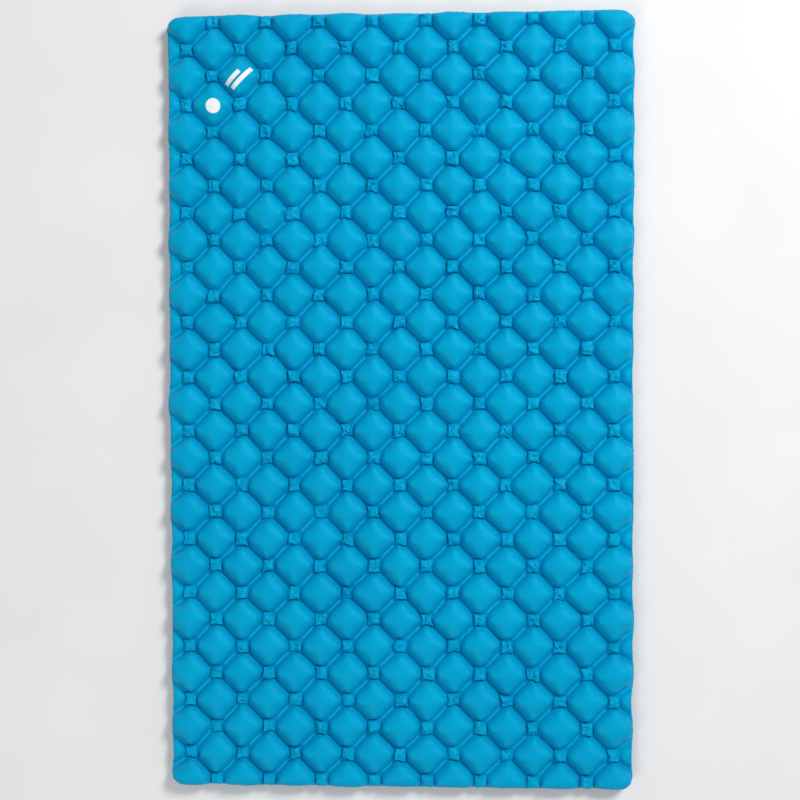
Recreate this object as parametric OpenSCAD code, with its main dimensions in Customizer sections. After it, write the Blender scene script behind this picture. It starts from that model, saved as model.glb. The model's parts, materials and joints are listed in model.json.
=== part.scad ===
// Double inflatable sleeping pad, lying on its underside.
// X is across the pad, Y runs from foot to head, Z is up, and the floor is at Z = 0.
// Two coated sheets are welded together round the edge and along short slanting bars.
// The bars leave a chequer of large diamond cells joined by small air links.

/* [Pad] */
// Length over the seam
pad_length = 2000; // [1900:10:2100]
// Width over the seam
pad_width = 1200; // [1150:10:1250]
// Height over the cells' crowns when inflated
pad_height = 60; // [56:1:66]
// Width of the flat welded seam round the edge
seam_w = 8; // [6:1:9]
// Radius of the pad's four corners
corner_r = 36; // [20:1:44]
// Thickness of each coated sheet
sheet_t = 1; // [0.8:0.1:1.2]

/* [Cells] */
// Lattice columns across the pad, where cells and links take turns
columns = 17; // [17:4:17]
// Lattice rows along the pad
rows = 29; // [29:4:29]
// From the outermost column's centres to the pad's side edge
side_margin = 51.5; // [48:0.5:54]
// From the end rows' centres to the pad's head and foot edges
end_margin = 20; // [16:1:24]
// Height of a gate between a cell and a link, as a share of the cell's
gate_share = 0.74; // [0.6:0.02:0.9]
// Height of a link, as a share of the cell's
link_share = 0.55; // [0.3:0.05:0.8]

/* [Valves] */
// Lattice column of the inflation valve's cell
inflation_column = 1; // [1:2:1]
// Lattice column of the deflation valve's cell
deflation_column = 3; // [3:2:5]
// Lattice row of both valves' cells, counted from the foot
valve_row = 1; // [1:2:3]
// Height of the underside above the floor round a valve
recess = 6; // [6:0.5:7]
// Radius of the inflation port, which takes a pump sack's nozzle
inflation_port_r = 8.5; // [8:0.1:9]
// Radius of the deflation port
deflation_port_r = 11; // [10.5:0.1:11.2]
// How far the check flap lifts off its seat
flap_lift = 1.5; // [1:0.1:1.8]

/* [Hidden] */
$fn = 64;

// Fabric colours
top_blue = [0.02, 0.60, 0.78];
underside_grey = [0.42, 0.45, 0.48];
valve_grey = [0.20, 0.21, 0.23];
silicone_white = [0.88, 0.90, 0.90];

// The lattice
mid_z = pad_height / 2;
crown_h = mid_z - sheet_t;
pitch_x = (pad_width - 2 * side_margin) / (columns - 1);
pitch_y = (pad_length - 2 * end_margin) / (rows - 1);
seam_x = pad_width / 2 - seam_w;
seam_y = pad_length / 2 - seam_w;

// Valve heights above the floor
floor_gap = 0.8;
cap_t = 1.8;
mouth_z = floor_gap + cap_t;
plug_top_z = 4.8;
port_z = 5;
spider_z = 10;
spider_t = 1.2;
inner_z = spider_z + spider_t;
flange_z = recess + sheet_t;
flange_t = 1.2;

// Valve radii
collar_r = 15;
flange_r = 22;
seat_bore_r = 12;
seat_clearance = 0.03;
mouth_step = 0.9;
spider_ring_r = 9.6;
hub_r = 3.2;
spoke_w = 1.6;
post_r = 1.5;
post_clearance = 0.1;
post_head_r = 2.6;
post_head_t = 0.6;
post_gap = 0.05;
flap_r = 10.5;
flap_t = 0.8;
disc_r = 14.8;
plug_wall = 1.5;
plug_clearance = 0.1;
plug_taper = 0.3;
gasket_gap = 0.3;
gasket_w = 2;
gasket_t = 0.6;

// Hinge of a valve cap
hinge_y = 18.5;
hinge_z = 3;
knuckle_r = 2;
knuckle_w = 7;
ear_w = 2;
ear_gap = 0.2;
pin_r = 1;
pin_clearance = 0.06;
tab_w = 8;
tab_reach = 19;

e = 0.01; // overlap that keeps unions and cuts clean

function lattice_x(column) = (column - (columns - 1) / 2) * pitch_x;
function lattice_y(row) = (row - (rows - 1) / 2) * pitch_y;

// ---- quilted sheets -------------------------------------------------------

// Grid lines in half lattice steps, with the seam and the edge added at both ends.
// The columns go half a step past the lattice, because a bar lies there.
steps_x = [for (a = [-1 : 2 * columns - 1]) a];
steps_y = [for (b = [0 : 2 * rows - 2]) b];
lines_x = concat([-pad_width / 2, -seam_x], [for (a = steps_x) lattice_x(a / 2)],
                 [seam_x, pad_width / 2]);
lines_y = concat([-pad_length / 2, -seam_y], [for (b = steps_y) lattice_y(b / 2)],
                 [seam_y, pad_length / 2]);
nx = len(lines_x);
ny = len(lines_y);
first_a = steps_x[0] - 2;
first_b = steps_y[0] - 2;

// Share of the full height at a half-step place: cell, link, gate or weld bar.
function is_even(n) = n % 2 == 0;
function share_at(a, b, gate, link) =
    is_even(a) && is_even(b) ? ((a + b) % 4 == 0 ? 1 : link)
    : is_even(a) || is_even(b) ? gate : 0;

// The edge of the pad is round: height as a share, at a distance inside the seam.
function edge_rise(d) = d <= 0 ? 0 : d >= crown_h ? 1 : sqrt(1 - pow(1 - d / crown_h, 2));

// True at the cell of a valve and at the four gates round it.
function by_valve(a, b) =
    let (db = abs(b - 2 * valve_row))
    min(abs(a - 2 * inflation_column), abs(a - 2 * deflation_column)) + db <= 1;

function height_at(i, j, gate, link, valves) =
    let (a = first_a + i, b = first_b + j,
         d = min(seam_x - abs(lines_x[i]), seam_y - abs(lines_y[j])),
         full = crown_h * share_at(a, b, gate, link) * edge_rise(d))
    valves && by_valve(a, b) ? crown_h - recess : full;

// Draws the corner of the square grid in to a round corner.
function rounded(x, y) =
    let (dx = abs(x) - (pad_width / 2 - corner_r), dy = abs(y) - (pad_length / 2 - corner_r))
    dx <= 0 || dy <= 0 ? [x, y]
    : let (k = max(dx, dy) / norm([dx, dy]))
      [sign(x) * (abs(x) - dx + dx * k), sign(y) * (abs(y) - dy + dy * k)];

// One sheet with its weld face at Z = 0 and its cells rising above it.
module quilted_sheet(gate, link, valves) {
    lower = [for (j = [0 : ny - 1], i = [0 : nx - 1])
        concat(rounded(lines_x[i], lines_y[j]), height_at(i, j, gate, link, valves))];
    upper = [for (p = lower) p + [0, 0, sheet_t]];
    n = nx * ny;
    cells = [for (j = [0 : ny - 2], i = [0 : nx - 2])
        let (q = j * nx + i, corners = [q, q + 1, q + 1 + nx, q + nx])
        // Each square is split from gate to gate.
        is_even(first_a + i + first_b + j)
            ? [[corners[0], corners[1], corners[3]], [corners[1], corners[2], corners[3]]]
            : [[corners[0], corners[1], corners[2]], [corners[0], corners[2], corners[3]]]];
    floor_faces = [for (c = cells, f = c) f];
    roof_faces = [for (f = floor_faces) [f[2] + n, f[1] + n, f[0] + n]];
    rim = concat([for (i = [0 : nx - 1]) i],
                 [for (j = [1 : ny - 1]) j * nx + nx - 1],
                 [for (i = [nx - 2 : -1 : 0]) (ny - 1) * nx + i],
                 [for (j = [ny - 2 : -1 : 1]) j * nx]);
    rim_faces = [for (k = [0 : len(rim) - 1])
        let (p = rim[k], q = rim[(k + 1) % len(rim)])
        for (f = [[q, p, p + n], [q, p + n, q + n]]) f];
    polyhedron(concat(lower, upper), concat(floor_faces, roof_faces, rim_faces));
}

module top_sheet() {
    color(top_blue) translate([0, 0, mid_z]) quilted_sheet(gate_share, link_share, false);
}

// The underside's cells are pressed flat on the floor, and each valve's cell is drawn in.
module bottom_sheet() {
    hole_sides = 12;
    hole_r = (collar_r + 0.05) / cos(180 / hole_sides);
    color(underside_grey) difference() {
        translate([0, 0, mid_z]) mirror([0, 0, 1]) quilted_sheet(1, link_share, true);
        for (column = [inflation_column, deflation_column])
            at_valve(column) translate([0, 0, recess - 1])
                cylinder(r = hole_r, h = sheet_t + 2, $fn = hole_sides);
    }
}

// ---- valves ---------------------------------------------------------------

module at_valve(column) translate([lattice_x(column), lattice_y(valve_row), 0]) children();

module tube(outer_r, inner_r, z0, z1) {
    translate([0, 0, z0]) difference() {
        cylinder(r = outer_r, h = z1 - z0);
        translate([0, 0, -1]) cylinder(r = inner_r, h = z1 - z0 + 2);
    }
}

module along_hinge(r, length) {
    translate([-length / 2, hinge_y, hinge_z]) rotate([0, 90, 0]) cylinder(r = r, h = length);
}

// Two ears on the collar that hold the cap's hinge pin.
module hinge_ears() {
    for (side = [-1, 1]) translate([side * (knuckle_w / 2 + ear_gap + ear_w / 2), 0, 0]) {
        along_hinge(knuckle_r, ear_w);
        translate([-ear_w / 2, collar_r - 1.2, mouth_z + 0.2])
            cube([ear_w, hinge_y - collar_r + 1.2, hinge_z + knuckle_r - mouth_z - 0.2]);
    }
}

// The port's mouth is wider than the port, so that the cap's plug leaves the port clear.
module mouth(port_r) {
    translate([0, 0, mouth_z - 1]) cylinder(r = port_r + mouth_step, h = port_z - mouth_z + 1);
}

// Collar through the sheet, with a flange that is welded to the sheet's inner face.
// Its inner end is bored out for a spider.
module valve_base(bore_r) {
    difference() {
        union() {
            translate([0, 0, mouth_z]) cylinder(r = collar_r, h = inner_z - mouth_z);
            translate([0, 0, flange_z]) cylinder(r = flange_r, h = flange_t);
            hinge_ears();
        }
        translate([0, 0, mouth_z - 1]) cylinder(r = bore_r, h = inner_z - mouth_z + 2);
        if (bore_r < seat_bore_r)
            translate([0, 0, spider_z]) cylinder(r = seat_bore_r, h = spider_t + 1);
        along_hinge(pin_r + 0.01, 2 * collar_r);
    }
}

// Ring, hub and square bars that cross a port's inner end.
module spider(bars) {
    color(valve_grey) {
        tube(seat_bore_r - seat_clearance, spider_ring_r, spider_z, inner_z);
        translate([0, 0, spider_z]) cylinder(r = hub_r, h = spider_t);
        for (k = [0 : bars - 1]) rotate([0, 0, k * 360 / bars])
            translate([-spoke_w / 2, hub_r - 0.5, spider_z])
                cube([spoke_w, spider_ring_r - hub_r + 1, spider_t]);
    }
}

// Cap with a tapered hollow plug, a gasket groove, a hinge knuckle and a pull tab.
module valve_cap(port_r) {
    mouth_r = port_r + mouth_step;
    plug_r = mouth_r - plug_clearance;
    difference() {
        union() {
            translate([0, 0, floor_gap]) cylinder(r = disc_r, h = cap_t);
            translate([0, 0, mouth_z - e])
                cylinder(r1 = plug_r, r2 = plug_r - plug_taper, h = plug_top_z - mouth_z + e);
            translate([-knuckle_w / 2, disc_r - 1, floor_gap + 0.3])
                cube([knuckle_w, hinge_y - disc_r + 0.5, cap_t - 0.5]);
            along_hinge(knuckle_r, knuckle_w);
            translate([-tab_w / 2, -tab_reach, floor_gap + 0.3])
                cube([tab_w, tab_reach - disc_r + 1, cap_t - 0.6]);
        }
        translate([0, 0, mouth_z - e])
            cylinder(r = plug_r - plug_taper - plug_wall, h = plug_top_z - mouth_z + 1);
        tube(mouth_r + gasket_gap + gasket_w, mouth_r + gasket_gap,
             mouth_z - gasket_t, mouth_z + 1);
        along_hinge(pin_r + pin_clearance, knuckle_w + 2);
    }
}

module cap_gasket(port_r) {
    inner_r = port_r + mouth_step + gasket_gap;
    color(silicone_white) tube(inner_r + gasket_w, inner_r, mouth_z - gasket_t, mouth_z);
}

module hinge_pin() {
    color(valve_grey) along_hinge(pin_r, knuckle_w + 2 * ear_gap + 2 * ear_w);
}

module inflation_valve_base() color(valve_grey) at_valve(inflation_column)
    valve_base(seat_bore_r);

// Insert with the port.
module inflation_valve_seat() {
    color(valve_grey) at_valve(inflation_column) difference() {
        tube(seat_bore_r - seat_clearance, inflation_port_r, mouth_z, spider_z);
        mouth(inflation_port_r);
    }
}

// The hub carries a post, and the post's head stops the flap.
module inflation_valve_spider() {
    head_z = inner_z + flap_t + flap_lift + post_gap;
    at_valve(inflation_column) {
        spider(3);
        color(valve_grey) {
            translate([0, 0, inner_z - e]) cylinder(r = post_r, h = head_z - inner_z + 2 * e);
            translate([0, 0, head_z]) cylinder(r = post_head_r, h = post_head_t);
        }
    }
}

// Silicone disc on the post, which lies on the spider and slides up to let air in.
module inflation_check_flap() {
    color(silicone_white) at_valve(inflation_column)
        tube(flap_r, post_r + post_clearance, inner_z, inner_z + flap_t);
}

module inflation_cap() color(valve_grey) at_valve(inflation_column)
    valve_cap(inflation_port_r);

module inflation_cap_gasket() at_valve(inflation_column) cap_gasket(inflation_port_r);

module inflation_hinge_pin() at_valve(inflation_column) hinge_pin();

module deflation_valve_base() {
    color(valve_grey) at_valve(deflation_column) difference() {
        valve_base(deflation_port_r);
        mouth(deflation_port_r);
    }
}

// Its bars keep the other sheet from blocking the wide port.
module deflation_valve_spider() at_valve(deflation_column) spider(4);

module deflation_cap() color(valve_grey) at_valve(deflation_column)
    valve_cap(deflation_port_r);

module deflation_cap_gasket() at_valve(deflation_column) cap_gasket(deflation_port_r);

module deflation_hinge_pin() at_valve(deflation_column) hinge_pin();

top_sheet();
bottom_sheet();
inflation_valve_base();
inflation_valve_seat();
inflation_valve_spider();
inflation_check_flap();
inflation_cap();
inflation_cap_gasket();
inflation_hinge_pin();
deflation_valve_base();
deflation_valve_spider();
deflation_cap();
deflation_cap_gasket();
deflation_hinge_pin();
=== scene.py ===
import json
import math

import bpy
import numpy as np
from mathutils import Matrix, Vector


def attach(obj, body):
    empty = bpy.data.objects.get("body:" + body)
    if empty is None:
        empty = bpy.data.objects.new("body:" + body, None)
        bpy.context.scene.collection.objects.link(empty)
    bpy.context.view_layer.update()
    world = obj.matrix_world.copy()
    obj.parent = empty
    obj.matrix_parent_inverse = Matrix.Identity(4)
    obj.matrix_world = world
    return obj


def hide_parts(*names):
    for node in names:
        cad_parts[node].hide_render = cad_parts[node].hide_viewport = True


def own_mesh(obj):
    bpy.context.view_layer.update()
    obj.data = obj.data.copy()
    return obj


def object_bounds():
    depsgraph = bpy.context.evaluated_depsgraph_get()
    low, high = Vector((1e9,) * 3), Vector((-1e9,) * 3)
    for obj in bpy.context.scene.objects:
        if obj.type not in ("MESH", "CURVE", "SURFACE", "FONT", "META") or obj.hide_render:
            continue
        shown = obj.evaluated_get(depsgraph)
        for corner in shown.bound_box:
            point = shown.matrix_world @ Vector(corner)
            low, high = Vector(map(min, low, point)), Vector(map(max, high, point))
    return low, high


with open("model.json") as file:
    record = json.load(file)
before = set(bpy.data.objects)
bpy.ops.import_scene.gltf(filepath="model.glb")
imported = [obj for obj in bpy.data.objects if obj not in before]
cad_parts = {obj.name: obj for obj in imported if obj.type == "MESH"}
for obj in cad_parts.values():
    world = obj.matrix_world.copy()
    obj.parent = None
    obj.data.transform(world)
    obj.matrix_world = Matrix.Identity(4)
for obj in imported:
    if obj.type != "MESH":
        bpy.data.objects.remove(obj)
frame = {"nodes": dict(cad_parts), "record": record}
CAD_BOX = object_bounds()

# ---- sizes ------------------------------------------------------------------

LOW, HIGH = CAD_BOX
WIDTH = HIGH.x - LOW.x
LENGTH = HIGH.y - LOW.y
MID_Z = HIGH.z / 2
VALVES = {m["name"].split("_")[0]: Vector(m["pos_m"][:2])
          for m in frame["record"]["mounts"] if m["kind"] == "bore"}

# The quilt's lattice: cells and links take turns, as in the CAD sheets.
COLUMNS, ROWS = 17, 29
SIDE_MARGIN = 0.0515       # outermost column's centres to the side edge
END_MARGIN = 0.020         # end rows' centres to the end edge
SEAM_W = 0.0045            # of the CAD's 8 mm, what the blown-up sides leave in sight
CORNER_R = 0.036
PITCH_X = (WIDTH - 2 * SIDE_MARGIN) / (COLUMNS - 1)
PITCH_Y = (LENGTH - 2 * END_MARGIN) / (ROWS - 1)
SEAM_X = WIDTH / 2 - SEAM_W
SEAM_Y = LENGTH / 2 - SEAM_W

# Grid steps of the fabric, laid so that gates and weld bars fall on grid lines.
LINK_STEPS = 4             # from a link's centre to its gate
CELL_STEPS = 6             # from gate to gate
STEPS = 2 * LINK_STEPS + CELL_STEPS
SIDE_STEPS = 9             # from the outermost column to the seam
END_STEPS = 3              # from the end row to the seam
GATE = 0.2525              # a link's half width, in lattice units

# The inflated shape that the fabric is cut to.
CROWN_H = 0.0280           # of a cell's crown, above the weld plane
CROWN_SPREAD = 0.02        # from cell to cell, as a share
GATE_H = 0.0040            # of the low arch between a cell and a link
GATE_SPREAD = 0.25         # of that height from gate to gate, as a share
LINK_H = 0.0170            # of a link's middle
LINK_FALL = 0.25           # how much lower a link's sides are, as a share
LINK_UNEVEN = 0.18         # spread of a link's height, broad, as a share
LINK_CRUMPLE = 0.16        # and fine
TIP_PUSH = 0.0018          # how far a cell's tip is pushed into a link
TIP_REACH = 0.018          # how far into the cell that push is felt
WALL_RUN = 0.017           # from a weld bar to the top of a cell's steep wall
WALL_SHARE = 0.74          # of the crown's height, that the wall takes
CELL_RUN = 0.045           # from a weld bar to the crown
ROOF_POWER = 12            # how sharply a cell's four facets meet
FACET_POWER = 1.7          # how round a facet is
SIDE_SHARE = 0.62          # of a whole cell's height, in the cells that the side edges cut off
GATE_RUN = 0.010           # from a gate to where the cell has its full height
LINK_RUN = 0.007           # from a gate to where the link has
BAR_HALF_W = 0.0032        # of a weld bar
EDGE_R = 0.017             # of the rounded sides
EDGE_BULGE = 0.0065        # how far the sides bulge out over the seam
BULGE_RUN = 0.021          # the strip along the seam that bulges

# How uneven the sheets are, as the spread of a place unless it says otherwise.
CELL_JITTER = 0.0014       # from cell to cell
JITTER = 0.0006            # everywhere, and LINK_JITTER more by a link
LINK_JITTER = 0.0017
FINE_LINK_JITTER = 0.0009  # by a link, from one side of it to the other
STILL_EDGE = 0.05          # the strip along the seam where this fades out
SLACK = 1.01               # the cloth's length, as a share of the shape that it is cut to
LINK_SLACK = 0.10          # more of it by a link
FINE_SLACK = 0.10          # spread of the spare length by a link, which makes its creases
CELL_SHARE = 0.15          # of that spread, everywhere

SETTLE_STEPS, QUICK_STEPS = 160, 20   # of the cloth simulation

# How the outline wanders.
FLANGE_RAG = 0.0012        # how far the seam's outer edge is cut unevenly
EDGE_STRIP = 0.05          # the strip along the edge that is drawn in
SIDE_DIP, SIDE_WANDER = 0.0032, 0.0013   # between cells, and at random
END_DIP, END_WANDER = 0.0026, 0.0011
RIM_LIFT = 0.0014          # up and down
HEAD_DRAW = 0.010          # how far the head's left corner is drawn in, and half as far the right

# Round a valve the fabric is drawn up under the flange, in a round recess that reaches
# further on the hinge's side, where the open cap lies.
SURROUND_IN_R = 0.0151     # at the valve's collar
SURROUND_UP_Z = 0.0066     # under the flange
RECESS_SHIFT = Vector((0, 0.005))
RECESS_FLAT_R = 0.0265     # of the part that is level under the flange
RECESS_HOLE_R = 0.0335     # of the hole in the bottom sheet
RECESS_OUT_R = 0.0350      # the surround laps the sheet, on its inner side, to here
RECESSES = [centre + RECESS_SHIFT for centre in VALVES.values()]
PINNED_R = RECESS_OUT_R + 0.002   # of the bottom sheet that stays flat on the floor
LAP = 0.0001               # how far above the sheet the surround lies there
PLEAT_H = 0.00035
PLEATS = (7, 11, 16)       # waves round the valve that add up to its uneven pleats
FLOOR_Z = 0.0003           # of the fabric that lies on the floor
FABRIC_T = 0.0003
SKIRT_H = 0.00022          # of the sheets' edges, which leaves a hair's breadth between them
CREASE_ANGLE = 42          # folds sharper than this are shaded as creases

# The two marks that stand in for the print: places are from a lattice point, in metres.
DOT_POINT, DOT_SHIFT, DOT_R = (1, 25), (0.004, -0.007), 0.019
BARS_POINT, BAR_MARK_HALF_W = (2, 26), 0.0060
BAR_MARKS = ((-0.014, 0.006, 0.025), (0.001, -0.012, 0.036))   # along, across, half length
PRINT_EDGE = 0.0006        # the width over which a mark's edge fades
PRINT_WHITE = (0.86, 0.88, 0.88, 1)

SEED = 7


# ---- fabric grid ------------------------------------------------------------

def lattice_place(line):
    """Place of a grid line in lattice units, with the fine steps near a lattice point."""
    whole, rest = np.divmod(line, STEPS)
    middle = GATE + (1 - 2 * GATE) * (rest - LINK_STEPS) / CELL_STEPS
    near_start = GATE * rest / LINK_STEPS
    near_end = 1 - GATE * (STEPS - rest) / LINK_STEPS
    place = np.where(rest < LINK_STEPS, near_start,
                     np.where(rest > STEPS - LINK_STEPS, near_end, middle))
    return whole + place


def make_grid():
    """Grid lines out to the seam, in lattice units and metres, and which vertices are welded."""
    lines_u = np.arange(-SIDE_STEPS, (COLUMNS - 1) * STEPS + SIDE_STEPS + 1)
    lines_v = np.arange(-END_STEPS, (ROWS - 1) * STEPS + END_STEPS + 1)
    places_u, places_v = lattice_place(lines_u), lattice_place(lines_v)
    side = (SIDE_MARGIN - SEAM_W) / PITCH_X
    end = (END_MARGIN - SEAM_W) / PITCH_Y
    places_u[0], places_u[-1] = -side, COLUMNS - 1 + side
    places_v[0], places_v[-1] = -end, ROWS - 1 + end
    u, v = np.meshgrid(places_u, places_v)
    i, j = np.meshgrid(lines_u, lines_v)

    # In each lattice square one bar runs between its two links.
    rising = (i // STEPS + j // STEPS) % 2 == 1
    i, j = i % STEPS, j % STEPS
    off_line = np.where(rising, j - i, i + j - STEPS)
    low, high = LINK_STEPS, STEPS - LINK_STEPS
    bar = (i >= low) & (i <= high) & (j >= low) & (j <= high) & (np.abs(off_line) <= 1)
    seam = np.zeros_like(bar)
    seam[0] = seam[-1] = seam[:, 0] = seam[:, -1] = True
    gate = np.abs(link_offset(u, v)[0] - GATE) < 1e-6

    # A bar is one diagonal row of vertices with one on each side, drawn in to its width.
    step = (1 - 2 * GATE) / CELL_STEPS * PITCH_X / 2
    narrow = off_line * bar * (step - BAR_HALF_W * math.sqrt(0.5))
    return {
        "u": u, "v": v,
        "x": (u - (COLUMNS - 1) / 2) * PITCH_X + np.where(rising, narrow, -narrow),
        "y": (v - (ROWS - 1) / 2) * PITCH_Y - narrow,
        "rising": rising[:-1, :-1],
        "bar": bar, "seam": seam, "gate": gate,
    }


def smooth_step(t):
    """0 to 1 as t is, level at both ends."""
    return t * t * (3 - 2 * t)


def smooth_noise(rng, grid, size):
    """Noise of unit spread whose features are about this many lattice units."""
    row = (grid["v"] - grid["v"].min()) / size
    column = (grid["u"] - grid["u"].min()) / size
    knots = rng.normal(0, 1, (int(row.max()) + 2, int(column.max()) + 2))
    r, c = row.astype(int), column.astype(int)
    fr, fc = smooth_step(row - r), smooth_step(column - c)
    low = knots[r, c] * (1 - fc) + knots[r, c + 1] * fc
    high = knots[r + 1, c] * (1 - fc) + knots[r + 1, c + 1] * fc
    return low * (1 - fr) + high * fr


def quarter_round(t):
    return np.sqrt(1 - (1 - np.clip(t, 0, 1)) ** 2)


def edge_distance(grid):
    return np.minimum(SEAM_X - np.abs(grid["x"]), SEAM_Y - np.abs(grid["y"]))


def link_offset(u, v):
    """Larger and smaller offset from the nearest link's centre, in lattice units."""
    s, t = np.floor((u + v) / 2) + 0.5, np.floor((u - v) / 2) + 0.5
    du, dv = np.abs(u - s - t), np.abs(v - s + t)
    return np.maximum(du, dv), np.minimum(du, dv)


def gathered_places(grid, rng):
    """x and y of the vertices, with uneven links, cells' tips pushed into them and full sides."""
    u, v = grid["u"], grid["v"]
    s, t = np.floor((u + v) / 2) + 0.5, np.floor((u - v) / 2) + 0.5
    du, dv = u - s - t, v - s + t
    big, small = link_offset(u, v)

    # Most tips are pushed into their link, unevenly, and a few are drawn back.
    past_gate = (big - GATE) * PITCH_X
    reach = np.where(past_gate < 0, big / GATE, np.exp(-(past_gate / TIP_REACH) ** 2))
    tip = np.clip(1 - small / GATE, 0, 1)
    push = TIP_PUSH * tip * reach * np.clip(0.8 + 1.2 * smooth_noise(rng, grid, 0.4), -1.2, 3)
    across = np.abs(du) >= np.abs(dv)
    by_link = np.clip(1.5 - big / GATE, 0, 1)
    inside = np.clip(edge_distance(grid) / STILL_EDGE, 0, 1)

    def jittered(place):
        return place + inside * (CELL_JITTER * smooth_noise(rng, grid, 1.0)
                                 + (JITTER + LINK_JITTER * by_link) * smooth_noise(rng, grid, 0.2)
                                 + FINE_LINK_JITTER * by_link * smooth_noise(rng, grid, 0.12))

    x, y = jittered(grid["x"]), jittered(grid["y"])
    x -= inside * push * across * np.sign(du)
    y -= inside * push * ~across * np.sign(dv)
    for place, seam in ((x, SEAM_X), (y, SEAM_Y)):
        share = np.clip((seam - np.abs(place)) / BULGE_RUN, 0, 1)
        bulge = EDGE_BULGE * np.sin(math.pi * share)
        place += np.sign(place) * bulge
    return x, y


def drawn_height(grid, rng, wall_share):
    """Height above the weld plane of the shape that the fabric is cut to."""
    s, t = (grid["u"] + grid["v"]) / 2, (grid["u"] - grid["v"]) / 2
    cell_s, cell_t = np.round(s), np.round(t)
    ds, dt = s - cell_s, t - cell_t
    arch = GATE_H * (1 + GATE_SPREAD * smooth_noise(rng, grid, 0.7))

    # A cell: four soft facets that rise from its bars and meet in ridges.
    roof = ((2 * np.abs(ds)) ** ROOF_POWER + (2 * np.abs(dt)) ** ROOF_POWER) ** (1 / ROOF_POWER)
    across = PITCH_X * PITCH_Y / math.hypot(PITCH_X, PITCH_Y)
    inward = np.clip((1 - roof) * across - BAR_HALF_W, 0, None)
    own = rng.normal(1, CROWN_SPREAD, (COLUMNS + ROWS, COLUMNS + ROWS))
    crown = CROWN_H * own[cell_s.astype(int), cell_t.astype(int)]
    at_side = np.abs(cell_s + cell_t - (COLUMNS - 1) / 2) > COLUMNS / 2
    crown = np.where(at_side, crown * SIDE_SHARE, crown)
    wall = np.sin(math.pi / 2 * np.clip(inward / WALL_RUN, 0, 1))
    facet = 1 - (1 - np.clip(inward / CELL_RUN, 0, 1)) ** FACET_POWER
    cell = crown * (wall_share * wall + (1 - wall_share) * facet)
    du, dv = np.abs(ds + dt), np.abs(ds - dt)
    to_gate = (1 - GATE - np.maximum(du, dv)) * PITCH_X
    gate = arch * np.sqrt(np.clip(1 - (np.minimum(du, dv) / GATE) ** 2, 0, 1))
    share = np.sin(math.pi / 2 * np.clip(to_gate / GATE_RUN, 0, 1))
    cell = np.minimum(gate, cell) * (1 - share) + cell * share

    # A link: a small square pillow between four gates.
    big, small = link_offset(grid["u"], grid["v"])
    gate = arch * np.sqrt(np.clip(1 - (small / GATE) ** 2, 0, 1))
    dome = LINK_H * (1 - LINK_FALL * (big ** 2 + small ** 2) / GATE ** 2)
    dome = dome * (1 + LINK_UNEVEN * smooth_noise(rng, grid, 0.35)
                   + LINK_CRUMPLE * smooth_noise(rng, grid, 0.12))
    share = quarter_round((GATE - big) * PITCH_X / LINK_RUN)
    link = gate * (1 - share) + dome * share

    height = np.where(big < GATE - 1e-6, link, cell)
    height = height * quarter_round(edge_distance(grid) / EDGE_R)
    height[grid["bar"]] = 0
    return height


# ---- cloth simulation -------------------------------------------------------

def neighbours(shape, down, right):
    """Slices of each vertex and of the one this many rows down and columns right of it."""
    ny, nx = shape
    if right >= 0:
        return (np.s_[:, :ny - down, :nx - right], np.s_[:, down:, right:])
    return (np.s_[:, :ny - down, -right:], np.s_[:, down:, :nx + right])


def air_force(points):
    """Area vector at each inner vertex."""
    force = np.zeros_like(points)
    ax, ay, az = points[:, 1:-1, 2:] - points[:, 1:-1, :-2]
    bx, by, bz = points[:, 2:, 1:-1] - points[:, :-2, 1:-1]
    inner = force[:, 1:-1, 1:-1]
    inner[0] = ay * bz - az * by
    inner[1] = az * bx - ax * bz
    inner[2] = ax * by - ay * bx
    return force / 4


def inflate(points, fixed, slack, steps, ceiling):
    """Settles the fabric under air pressure, from the shape that it is cut to.

    slack is the spare length at each vertex, as a share. ceiling stops it, as the floor does.
    """
    stretch, bend, pressure, damping, limpness = 0.25, 0.03, 0.16, 0.95, 0.25
    springs = []
    for down, right, stiffness in ((0, 1, stretch), (1, 0, stretch), (1, 1, stretch / 2),
                                   (1, -1, stretch / 2), (0, 2, bend), (2, 0, bend)):
        here, there = neighbours(fixed.shape, down, right)
        rest = np.sqrt(((points[there] - points[here]) ** 2).sum(0))
        is_bend = stiffness == bend
        rest = rest if is_bend else rest * slack[here[1:]]
        springs.append((here, there, rest, stiffness, 1.0 if is_bend else limpness))
    free = ~fixed
    speed = np.zeros_like(points)
    for _ in range(steps):
        force = air_force(points) * pressure
        for here, there, rest, stiffness, when_short in springs:
            reach = points[there] - points[here]
            length = np.sqrt((reach ** 2).sum(0)) + 1e-9
            strain = (length - rest) / length
            reach *= np.where(strain > 0, strain, strain * when_short) * stiffness
            force[here] += reach
            force[there] -= reach
        speed = (speed + force) * damping * free
        points = points + speed
        points[2] = np.minimum(points[2], ceiling)
    return points


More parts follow.
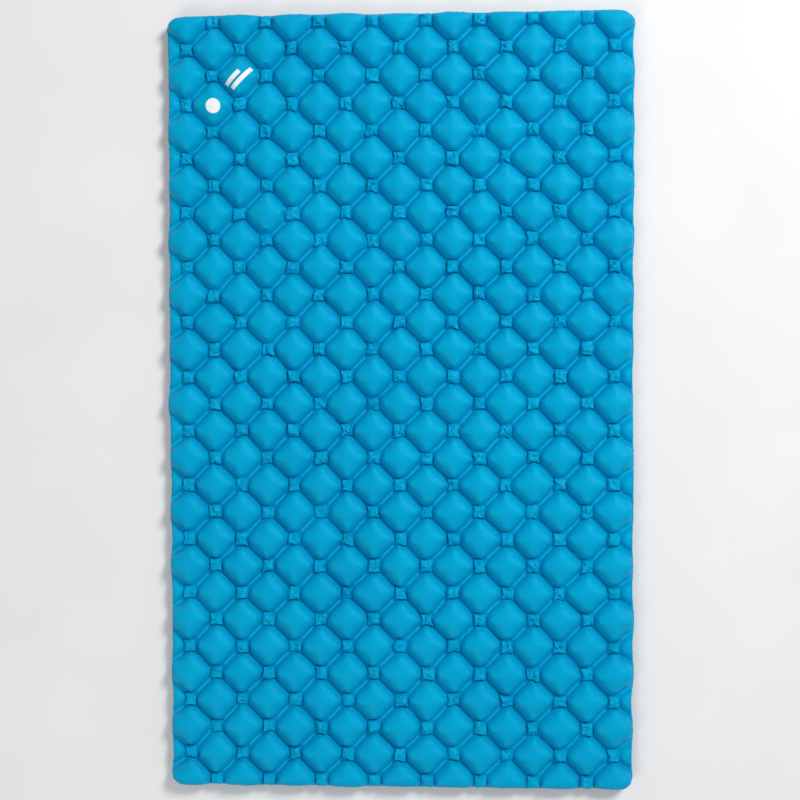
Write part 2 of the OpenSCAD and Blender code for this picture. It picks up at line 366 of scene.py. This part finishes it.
def quilted_points(grid, seed, on_floor):
    """One inflated sheet: x, y and height above the weld plane of each grid vertex."""
    shared = np.random.default_rng(SEED)
    rng = np.random.default_rng(seed)
    fixed = grid["bar"] | grid["seam"] | grid["gate"]
    wall_share = np.full_like(grid["u"], WALL_SHARE)
    pinned = np.zeros_like(fixed)
    ceiling = 1.0                         # out of reach
    if on_floor:
        ceiling = MID_Z - FLOOR_Z
        # The cell round a valve has a steep wall and a level face, pinned round the recess.
        for centre in RECESSES:
            dx, dy = grid["x"] - centre.x, grid["y"] - centre.y
            wall_share[np.abs(dx) / PITCH_X + np.abs(dy) / PITCH_Y < 1] = 1
            pinned |= np.hypot(dx, dy) < PINNED_R
    height = drawn_height(grid, rng, wall_share)
    height[pinned] = ceiling
    points = np.stack([*gathered_places(grid, shared), height])

    by_link = np.clip(1.6 - link_offset(grid["u"], grid["v"])[0] / GATE, 0, 1)
    fine = FINE_SLACK * smooth_noise(rng, grid, 0.09)
    slack = SLACK + (LINK_SLACK + fine) * by_link + CELL_SHARE * fine
    steps = SETTLE_STEPS
    return inflate(points.astype(np.float32), fixed | pinned, slack.astype(np.float32),
                   steps, np.float32(ceiling))


# ---- fabric pieces ----------------------------------------------------------

def add_flange(points):
    """Adds the welded seam's outer edge, a little ragged, round the grid of points."""
    rng = np.random.default_rng(SEED + 9)
    x, y, height = (np.pad(a, 1, mode="edge") for a in points)
    for side, sign in ((0, -1), (-1, 1)):
        x[:, side] = sign * (WIDTH / 2 - FLANGE_RAG * rng.random(len(x)))
        y[side] = sign * (LENGTH / 2 - FLANGE_RAG * rng.random(len(y[0])))
    return np.stack([x, y, height])


def round_corners(points):
    """Draws the grid's square corners in to the pad's round ones."""
    x, y, _ = points
    dx = np.abs(x) - (WIDTH / 2 - CORNER_R)
    dy = np.abs(y) - (LENGTH / 2 - CORNER_R)
    corner = (dx > 0) & (dy > 0)
    pull = np.ones_like(x)
    pull[corner] = np.maximum(dx, dy)[corner] / np.hypot(dx, dy)[corner]
    x += np.where(corner, np.sign(x) * dx * (pull - 1), 0)
    y += np.where(corner, np.sign(y) * dy * (pull - 1), 0)


def scallop_edges(points, grid_u, grid_v):
    """Pulls the outline in between the outermost cells, and bends it a little up and down."""
    rng = np.random.default_rng(SEED + 5)
    x, y, z = points

    def along(place, count):
        knots = rng.normal(0, 1, (4, count + 3))
        base = np.clip(place + 1, 0, count + 1)
        k = base.astype(int)
        f = smooth_step(base - k)
        return [row[k] * (1 - f) + row[k + 1] * f for row in knots]

    def near_edge(place, half):
        return np.clip((np.abs(place) - (half - EDGE_STRIP)) / EDGE_STRIP, 0, 1) ** 2

    by_v, by_u = along(grid_v, ROWS), along(grid_u, COLUMNS)
    dip_v = SIDE_DIP * (1 - np.cos(math.pi * grid_v)) / 2
    dip_u = END_DIP * (1 - np.cos(math.pi * grid_u)) / 2
    near_side, near_end = near_edge(x, WIDTH / 2), near_edge(y, LENGTH / 2)
    side_noise = SIDE_WANDER * np.where(x > 0, by_v[0], by_v[1])
    end_noise = END_WANDER * np.where(y > 0, by_u[0], by_u[1])
    x -= np.sign(x) * near_side * (dip_v + side_noise)
    y -= np.sign(y) * near_end * (dip_u + end_noise)
    by_corner = np.exp((np.abs(x) - WIDTH / 2) / EDGE_STRIP) * np.where(x < 0, 1, 0.5)
    y -= np.where(y > 0, HEAD_DRAW * near_end * by_corner, 0)
    at_rim = np.clip((np.maximum(np.abs(x) - SEAM_X, np.abs(y) - SEAM_Y) + 0.006) / 0.010, 0, 1)
    lift = RIM_LIFT * (np.where(x > 0, by_v[2], by_v[3]) * near_side
                       + np.where(y > 0, by_u[2], by_u[3]) * near_end)
    z += lift * at_rim


def rim_of(index):
    """Vertex numbers round the outside of a grid, anticlockwise."""
    return np.concatenate([index[0, :-1], index[:-1, -1], index[-1, :0:-1], index[:0:-1, 0]])


def sheet_piece(name, points, rising, up, holes):
    """Mesh object of one sheet, with a narrow skirt that nearly meets the other sheet's."""
    ny, nx = points.shape[1:]
    index = np.arange(nx * ny).reshape(ny, nx)
    a, b = index[:-1, :-1].ravel(), index[:-1, 1:].ravel()
    c, d = index[1:, 1:].ravel(), index[1:, :-1].ravel()
    rise = rising.ravel()[:, None]
    first = np.where(rise, np.stack([a, b, c], 1), np.stack([a, b, d], 1))
    second = np.where(rise, np.stack([a, c, d], 1), np.stack([b, c, d], 1))
    faces = np.concatenate([first, second])
    co = points.reshape(3, -1).T.copy()
    for centre in holes:
        faces = cut_hole(co, faces, centre)

    rim = rim_of(index)
    skirt = co[rim].copy()
    skirt[:, 2] -= SKIRT_H if up else -SKIRT_H
    below = np.arange(len(rim)) + len(co)
    after, below_after = np.roll(rim, -1), np.roll(below, -1)
    faces = np.concatenate([faces, np.stack([after, rim, below], 1),
                            np.stack([after, below, below_after], 1)])
    co = np.concatenate([co, skirt])
    if not up:
        faces = faces[:, ::-1]
    return mesh_object(name, co, faces)


def cut_hole(co, faces, centre):
    """Drops the faces inside a valve's circle and draws the cut's edge on to the circle."""
    centre = np.array(centre)
    inside = np.linalg.norm(co[faces].mean(1)[:, :2] - centre, axis=1) < RECESS_HOLE_R
    border = np.intersect1d(faces[inside], faces[~inside])
    away = co[border, :2] - centre
    co[border, :2] = centre + away * (RECESS_HOLE_R / np.linalg.norm(away, axis=1)[:, None])
    return faces[~inside]


def mesh_object(name, co, faces):
    """Smooth-shaded mesh object from vertex and triangle arrays, without unused vertices."""
    used, faces = np.unique(faces, return_inverse=True)
    co, faces = co[used], faces.reshape(-1, 3)
    mesh = bpy.data.meshes.new(name)
    mesh.from_pydata(co.tolist(), [], faces.tolist())
    mesh.validate()
    mesh.shade_smooth()
    mesh.set_sharp_from_angle(angle=math.radians(CREASE_ANGLE))
    piece = bpy.data.objects.new(name, mesh)
    bpy.context.collection.objects.link(piece)
    return piece


def make_sheets():
    """The two quilted sheets, which share their bars and seam."""
    grid = make_grid()
    rising = np.pad(grid["rising"], 1)
    u, v = np.pad(grid["u"], 1, mode="edge"), np.pad(grid["v"], 1, mode="edge")
    pieces = []
    for name, seed, up in (("top_fabric", SEED + 1, True), ("bottom_fabric", SEED + 2, False)):
        points = add_flange(quilted_points(grid, seed, on_floor=not up).astype(float))
        points[2] += FABRIC_T
        points[2] = MID_Z + points[2] if up else MID_Z - points[2]
        round_corners(points)
        scallop_edges(points, u, v)
        pieces.append(sheet_piece(name, points, rising, up, holes=() if up else RECESSES))
    return pieces


def valve_surround(name, centre):
    """Fabric drawn up from the floor to a valve's flange, with small pleats."""
    around, outward = 120, 14
    rng = np.random.default_rng(SEED + len(name))
    turn = np.linspace(0, 2 * math.pi, around, endpoint=False)
    angle, share = np.meshgrid(turn, np.linspace(0, 1, outward))
    r = SURROUND_IN_R + share * (RECESS_OUT_R - SURROUND_IN_R)
    x = r * np.cos(angle) + share * RECESS_SHIFT.x
    y = r * np.sin(angle) + share * RECESS_SHIFT.y
    away = np.hypot(x - RECESS_SHIFT.x, y - RECESS_SHIFT.y)
    t = np.clip((away - RECESS_FLAT_R) / (RECESS_HOLE_R - RECESS_FLAT_R), 0, 1)
    z = SURROUND_UP_Z + (FLOOR_Z + LAP - SURROUND_UP_Z) * smooth_step(t)
    pleat = sum(rng.uniform(0.4, 1) * np.sin(k * angle + rng.uniform(0, 6)) for k in PLEATS)
    z += PLEAT_H * pleat * np.sin(math.pi * t) ** 2
    co = np.stack([centre.x + x, centre.y + y, z], -1)
    index = np.arange(around * outward).reshape(outward, around)
    a, b = index[:-1], np.roll(index[:-1], -1, 1)
    c, d = np.roll(index[1:], -1, 1), index[1:]
    faces = np.concatenate([np.stack([a, b, c], -1).reshape(-1, 3),
                            np.stack([a, c, d], -1).reshape(-1, 3)])
    return mesh_object(name, co.reshape(-1, 3), faces)


# ---- materials --------------------------------------------------------------

class Nodes:
    """Short calls for building one material's node tree."""

    def __init__(self, name):
        self.material = bpy.data.materials.new(name)
        self.material.use_nodes = True
        self.tree = self.material.node_tree
        self.shader = self.tree.nodes["Principled BSDF"]
        self.place = self.add("ShaderNodeTexCoord").outputs["Object"]

    def add(self, kind, inputs=None, **settings):
        node = self.tree.nodes.new(kind)
        for key, value in settings.items():
            setattr(node, key, value)
        for key, value in (inputs or {}).items():
            self.put(node.inputs[key], value)
        return node

    def put(self, socket, value):
        if isinstance(value, bpy.types.NodeSocket):
            self.tree.links.new(value, socket)
        else:
            socket.default_value = value

    def math(self, operation, a, b=0.0):
        return self.add("ShaderNodeMath", {0: a, 1: b}, operation=operation).outputs[0]

    def noise(self, scale, detail=2.0, roughness=0.5):
        inputs = {"Vector": self.place, "Scale": scale, "Detail": detail, "Roughness": roughness}
        return self.add("ShaderNodeTexNoise", inputs).outputs["Fac"]

    def spread(self, value, low, high):
        """Maps 0.3 to 0.7, where noise mostly lies, to low to high."""
        return self.add("ShaderNodeMapRange", {"Value": value, "From Min": 0.3, "From Max": 0.7,
                                               "To Min": low, "To Max": high}).outputs[0]

    def mix(self, share, a, b):
        node = self.add("ShaderNodeMix", data_type="RGBA")
        for socket, value in ((node.inputs[0], share), (node.inputs[6], a), (node.inputs[7], b)):
            self.put(socket, value)
        return node.outputs[2]

    def bump(self, height, distance, strength, under=None):
        node = self.add("ShaderNodeBump", {"Height": height, "Distance": distance,
                                           "Strength": strength})
        if under is not None:
            self.put(node.inputs["Normal"], under)
        return node.outputs[0]

    def finish(self, **inputs):
        for key, value in inputs.items():
            self.put(self.shader.inputs[key.replace("_", " ")], value)
        return self.material


def weave(nodes, thread):
    """Height of a plain weave whose threads are this far apart."""
    scale = math.tau / 20 / thread        # the bands of a wave of scale 1 are tau / 20 apart
    inputs = {"Vector": nodes.place, "Distortion": 0.4, "Detail": 1.0, "Scale": scale}
    bands = [nodes.add("ShaderNodeTexWave", inputs, bands_direction=way).outputs["Fac"]
             for way in "XY"]
    return nodes.math("MAXIMUM", *bands)


def print_mask(nodes):
    """1 on a plain round dot and two plain bars near the head's left corner, 0 elsewhere."""
    x, y, _ = nodes.add("ShaderNodeSeparateXYZ", {0: nodes.place}).outputs

    def lattice_point(column, row):
        return ((column - (COLUMNS - 1) / 2) * PITCH_X, (row - (ROWS - 1) / 2) * PITCH_Y)

    def inside(value, limit):
        over = nodes.math("SUBTRACT", limit, value)
        return nodes.add("ShaderNodeClamp", {0: nodes.math("DIVIDE", over, PRINT_EDGE)}).outputs[0]

    dot_x, dot_y = lattice_point(*DOT_POINT)
    dx = nodes.math("SUBTRACT", x, dot_x + DOT_SHIFT[0])
    dy = nodes.math("SUBTRACT", y, dot_y + DOT_SHIFT[1])
    squares = nodes.math("ADD", nodes.math("MULTIPLY", dx, dx), nodes.math("MULTIPLY", dy, dy))
    mask = inside(nodes.math("SQRT", squares), DOT_R)

    bars_x, bars_y = lattice_point(*BARS_POINT)
    dx, dy = nodes.math("SUBTRACT", x, bars_x), nodes.math("SUBTRACT", y, bars_y)
    along = nodes.math("MULTIPLY", nodes.math("ADD", dx, dy), math.sqrt(0.5))
    across = nodes.math("MULTIPLY", nodes.math("SUBTRACT", dy, dx), math.sqrt(0.5))
    for centre_along, centre_across, half_length in BAR_MARKS:
        off_along = nodes.math("ABSOLUTE", nodes.math("SUBTRACT", along, centre_along))
        off_across = nodes.math("ABSOLUTE", nodes.math("SUBTRACT", across, centre_across))
        bar = nodes.math("MULTIPLY", inside(off_along, half_length),
                         inside(off_across, BAR_MARK_HALF_W))
        mask = nodes.math("MAXIMUM", mask, bar)
    return mask


def coated_nylon(name, light, deep, roughness, printed):
    """Satin coated nylon: fine weave, soft creasing, slight unevenness of colour."""
    nodes = Nodes(name)
    colour = nodes.mix(nodes.spread(nodes.noise(5, 3), 0, 1), deep, light)
    rough = nodes.spread(nodes.noise(60, 3), roughness - 0.05, roughness + 0.05)
    if printed:
        colour = nodes.mix(print_mask(nodes), colour, PRINT_WHITE)
    creases = nodes.bump(nodes.noise(90, 4, 0.6), 0.0012, 0.35)
    threads = nodes.bump(weave(nodes, 0.0011), 0.00012, 0.45, creases)
    return nodes.finish(Base_Color=colour, Roughness=rough, Normal=threads,
                        Sheen_Weight=0.10, Sheen_Roughness=0.45,
                        Sheen_Tint=(0.05, 0.65, 1.0, 1), Specular_IOR_Level=0.35,
                        Specular_Tint=(0.10, 0.75, 1.0, 1))


def moulded_plastic(name, colour, roughness, grain):
    """Moulded plastic with a fine spark-eroded grain and slightly worn gloss."""
    nodes = Nodes(name)
    lighter = tuple(min(1, c * 1.35) for c in colour[:3]) + (1,)
    tint = nodes.mix(nodes.spread(nodes.noise(240, 4), 0, 1), colour, lighter)
    rough = nodes.spread(nodes.noise(420, 3), roughness - 0.07, roughness + 0.07)
    surface = nodes.bump(nodes.noise(2600, 2), 0.00008, grain)
    return nodes.finish(Base_Color=tint, Roughness=rough, Normal=surface)


def silicone_rubber(name):
    """Milky soft silicone."""
    nodes = Nodes(name)
    tint = nodes.mix(nodes.spread(nodes.noise(180, 3), 0, 1), (0.70, 0.73, 0.73, 1),
                     (0.80, 0.82, 0.82, 1))
    surface = nodes.bump(nodes.noise(900, 3), 0.0001, 0.2)
    rough = nodes.spread(nodes.noise(300, 2), 0.38, 0.50)
    return nodes.finish(Base_Color=tint, Roughness=rough, Normal=surface,
                        Subsurface_Weight=0.35, Subsurface_Scale=0.002)


def make_materials():
    return {
        "top_fabric": coated_nylon("top_fabric", (0.0, 0.36, 0.62, 1), (0.0, 0.325, 0.585, 1),
                                   roughness=0.50, printed=True),
        "underside_fabric": coated_nylon("underside_fabric", (0.0, 0.31, 0.55, 1),
                                         (0.0, 0.28, 0.52, 1), roughness=0.56, printed=False),
        "valve_plastic": moulded_plastic("valve_plastic", (0.035, 0.037, 0.042, 1),
                                         roughness=0.50, grain=0.35),
        "cap_plastic": moulded_plastic("cap_plastic", (0.050, 0.053, 0.060, 1),
                                       roughness=0.42, grain=0.25),
        "silicone": silicone_rubber("silicone"),
    }


def dress(piece, slot, materials):
    piece.data.materials.append(materials[slot])


def dress_cad_nodes(materials):
    """Gives each CAD node that stays the material of its slot."""
    for part in frame["record"]["subparts"]:
        for holder in frame["nodes"][part["node"]].material_slots:
            holder.material = materials[part["material_slot"]]


# ---- stage ------------------------------------------------------------------

def make_floor():
    """Plain pale floor, far larger than the pad so that its edge stays out of the way."""
    half, z = 30.0, -0.0005
    corners = [(-half, -half, z), (half, -half, z), (half, half, z), (-half, half, z)]
    mesh = bpy.data.meshes.new("floor")
    mesh.from_pydata(corners, [], [(0, 1, 2, 3)])
    floor = bpy.data.objects.new("floor", mesh)
    bpy.context.collection.objects.link(floor)
    nodes = Nodes("floor")
    tint = nodes.mix(nodes.spread(nodes.noise(3, 2), 0, 1), (0.80, 0.80, 0.80, 1),
                     (0.83, 0.83, 0.83, 1))
    floor.data.materials.append(nodes.finish(Base_Color=tint, Roughness=0.9))


def area_light(name, place, size, energy):
    """Soft square light aimed at the pad's middle."""
    light = bpy.data.lights.new(name, "AREA")
    light.size, light.energy = size, energy
    holder = bpy.data.objects.new(name, light)
    holder.location = place
    holder.rotation_euler = (-Vector(place)).to_track_quat("-Z", "Y").to_euler()
    bpy.context.collection.objects.link(holder)


def make_lights():
    """Key from the upper right, weak fill from the foot, even sky."""
    area_light("key", (2.9, 2.9, 4.6), 1.6, 268)
    area_light("fill", (-2.0, -2.8, 4.2), 2.4, 66)
    world = bpy.data.worlds.new("sky")
    world.use_nodes = True
    sky = world.node_tree.nodes["Background"]
    sky.inputs["Color"].default_value = (1, 1, 1, 1)
    sky.inputs["Strength"].default_value = 0.36
    bpy.context.scene.world = world
    bpy.context.scene.view_settings.view_transform = "Standard"


def make_camera():
    """Looks straight down from a little right of the middle, leaning back to the left."""
    camera = bpy.data.cameras.new("camera")
    camera.sensor_width = 36
    camera.lens = 60.6
    holder = bpy.data.objects.new("camera", camera)
    holder.location = (0.157, 0.110, 3.5)
    holder.rotation_euler = [math.radians(a) for a in (-1.69, 2.59, -0.16)]
    bpy.context.collection.objects.link(holder)
    bpy.context.scene.camera = holder


# ---- build ------------------------------------------------------------------

def build():
    materials = make_materials()
    make_camera()
    make_lights()
    make_floor()

    top, bottom = make_sheets()
    dress(top, "top_fabric", materials)
    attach(top, "upper")
    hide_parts("top_sheet")
    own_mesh(top)

    dress(bottom, "underside_fabric", materials)
    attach(bottom, "pad")
    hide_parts("bottom_sheet")
    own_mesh(bottom)

    for kind, centre in VALVES.items():
        surround = valve_surround(kind + "_surround", centre)
        dress(surround, "underside_fabric", materials)
        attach(surround, "pad")
    dress_cad_nodes(materials)


build()
